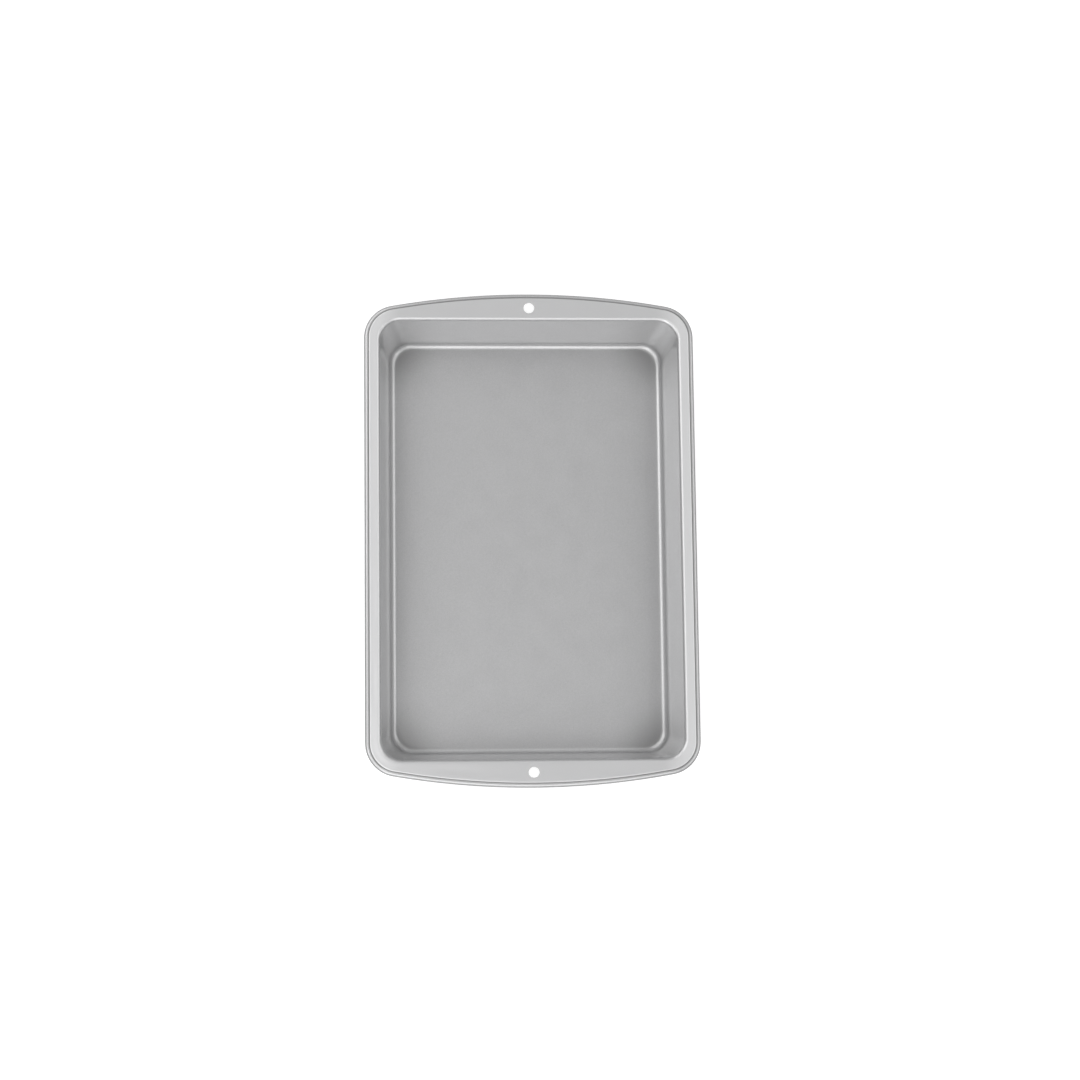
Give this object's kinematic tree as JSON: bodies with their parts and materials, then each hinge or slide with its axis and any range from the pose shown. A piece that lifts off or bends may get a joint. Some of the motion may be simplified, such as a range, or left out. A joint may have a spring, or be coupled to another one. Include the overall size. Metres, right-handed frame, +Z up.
{
  "type": "rectangular cake pan",
  "caption": "Rectangular coated-steel cake pan with flared walls, a flat flange that widens into bowed end handles with hanging holes, and a wire-stiffened rolled rim.",
  "frame": {"origin": "middle of the flat underside that the pan stands on", "axes": "+Z up out of the pan's mouth, +Y along the pan towards one handle, +X across it"},
  "size_m": [0.25, 0.3746, 0.05],
  "materials": {
    "coated_steel": "satin silver-grey non-stick coating with a fine metallic sparkle, over pressed steel sheet",
    "wire_steel": "bright drawn steel wire"
  },
  "bodies": {
    "root": {"pan_body": "coated_steel", "rim_wire": "wire_steel"}
  },
  "joints": []
}
